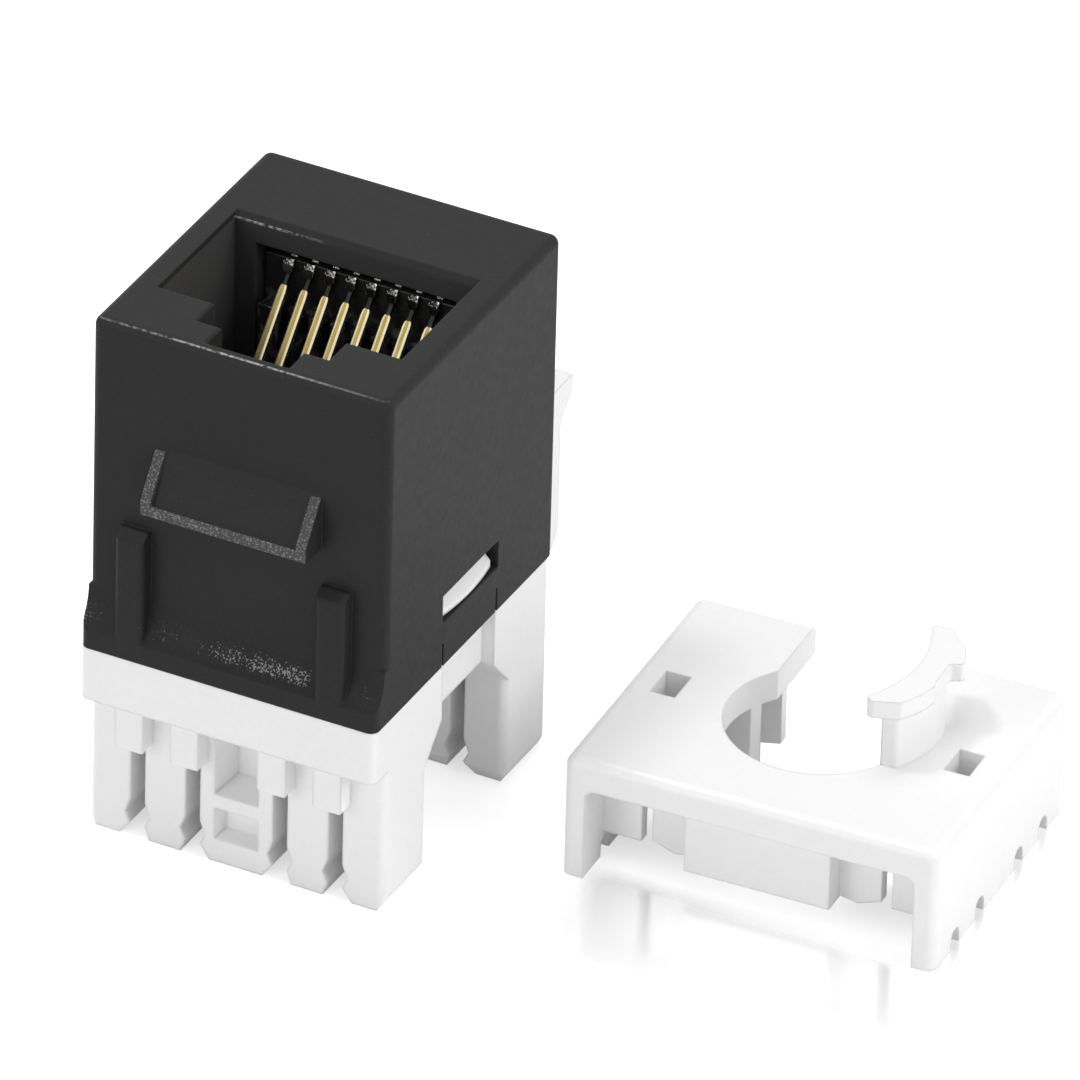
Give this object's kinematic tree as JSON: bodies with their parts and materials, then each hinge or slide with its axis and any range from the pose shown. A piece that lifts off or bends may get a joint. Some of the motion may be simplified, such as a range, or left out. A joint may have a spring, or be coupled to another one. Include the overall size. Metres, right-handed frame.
{
  "type": "keystone jack",
  "caption": "Snap-in modular plug socket with sprung contacts, a wire termination block with blade contacts, a flexible panel latch and a loose strain relief cap.",
  "frame": {"origin": "centre of the tower tips, where the cap or a termination tool seats", "axes": "+Z out of the plug port, -Y towards the fixed hook, +Y towards the flexible latch, X along the row of contacts"},
  "size_m": [0.0374, 0.0237, 0.0263],
  "materials": {
    "housing_black": "fine-grained matt black moulded plastic",
    "carrier_black": "glossy black moulded plastic",
    "board": "green solder mask over glass-fibre laminate",
    "block_white": "satin white moulded polycarbonate",
    "cap_white": "satin white moulded polycarbonate",
    "contact_silver": "nickel-plated spring wire",
    "contact_gold": "gold-plated spring wire",
    "blade_metal": "tin-plated stamped blades"
  },
  "bodies": {
    "jack_body": {"housing": "housing_black", "contact_carrier": "carrier_black", "circuit_board": "board", "terminal_block": "block_white", "wire_cap": "cap_white", "contact_leg_1": "contact_silver", "contact_leg_2": "contact_silver", "contact_leg_3": "contact_silver", "contact_leg_4": "contact_silver", "contact_leg_5": "contact_silver", "contact_leg_6": "contact_silver", "contact_leg_7": "contact_silver", "contact_leg_8": "contact_silver", "idc_contact_1": "blade_metal", "idc_contact_2": "blade_metal", "idc_contact_3": "blade_metal", "idc_contact_4": "blade_metal", "idc_contact_5": "blade_metal", "idc_contact_6": "blade_metal", "idc_contact_7": "blade_metal", "idc_contact_8": "blade_metal"},
    "latch": {"panel_latch": "block_white"},
    "contact_1": {"spring_contact_1": "contact_gold"},
    "contact_2": {"spring_contact_2": "contact_gold"},
    "contact_3": {"spring_contact_3": "contact_gold"},
    "contact_4": {"spring_contact_4": "contact_gold"},
    "contact_5": {"spring_contact_5": "contact_gold"},
    "contact_6": {"spring_contact_6": "contact_gold"},
    "contact_7": {"spring_contact_7": "contact_gold"},
    "contact_8": {"spring_contact_8": "contact_gold"}
  },
  "joints": [
    {"name": "latch_flex", "type": "hinge", "parent": "jack_body", "child": "latch", "pos_m": [0, 0.00835, 0.008], "axis": [1, 0, 0], "range_deg": [0, 8], "stiffness_Nm_per_rad": 0.05},
    {"name": "contact_spring_1", "type": "hinge", "parent": "jack_body", "child": "contact_1", "pos_m": [-0.00356, 0.00315, 0.0235], "axis": [1, 0, 0], "range_deg": [0, 22], "stiffness_Nm_per_rad": 0.01},
    {"name": "contact_spring_2", "type": "hinge", "parent": "jack_body", "child": "contact_2", "pos_m": [-0.00254, 0.00315, 0.0235], "axis": [1, 0, 0], "range_deg": [0, 22], "stiffness_Nm_per_rad": 0.01},
    {"name": "contact_spring_3", "type": "hinge", "parent": "jack_body", "child": "contact_3", "pos_m": [-0.00152, 0.00315, 0.0235], "axis": [1, 0, 0], "range_deg": [0, 22], "stiffness_Nm_per_rad": 0.01},
    {"name": "contact_spring_4", "type": "hinge", "parent": "jack_body", "child": "contact_4", "pos_m": [-0.00051, 0.00315, 0.0235], "axis": [1, 0, 0], "range_deg": [0, 22], "stiffness_Nm_per_rad": 0.01},
    {"name": "contact_spring_5", "type": "hinge", "parent": "jack_body", "child": "contact_5", "pos_m": [0.00051, 0.00315, 0.0235], "axis": [1, 0, 0], "range_deg": [0, 22], "stiffness_Nm_per_rad": 0.01},
    {"name": "contact_spring_6", "type": "hinge", "parent": "jack_body", "child": "contact_6", "pos_m": [0.00152, 0.00315, 0.0235], "axis": [1, 0, 0], "range_deg": [0, 22], "stiffness_Nm_per_rad": 0.01},
    {"name": "contact_spring_7", "type": "hinge", "parent": "jack_body", "child": "contact_7", "pos_m": [0.00254, 0.00315, 0.0235], "axis": [1, 0, 0], "range_deg": [0, 22], "stiffness_Nm_per_rad": 0.01},
    {"name": "contact_spring_8", "type": "hinge", "parent": "jack_body", "child": "contact_8", "pos_m": [0.00356, 0.00315, 0.0235], "axis": [1, 0, 0], "range_deg": [0, 22], "stiffness_Nm_per_rad": 0.01}
  ]
}
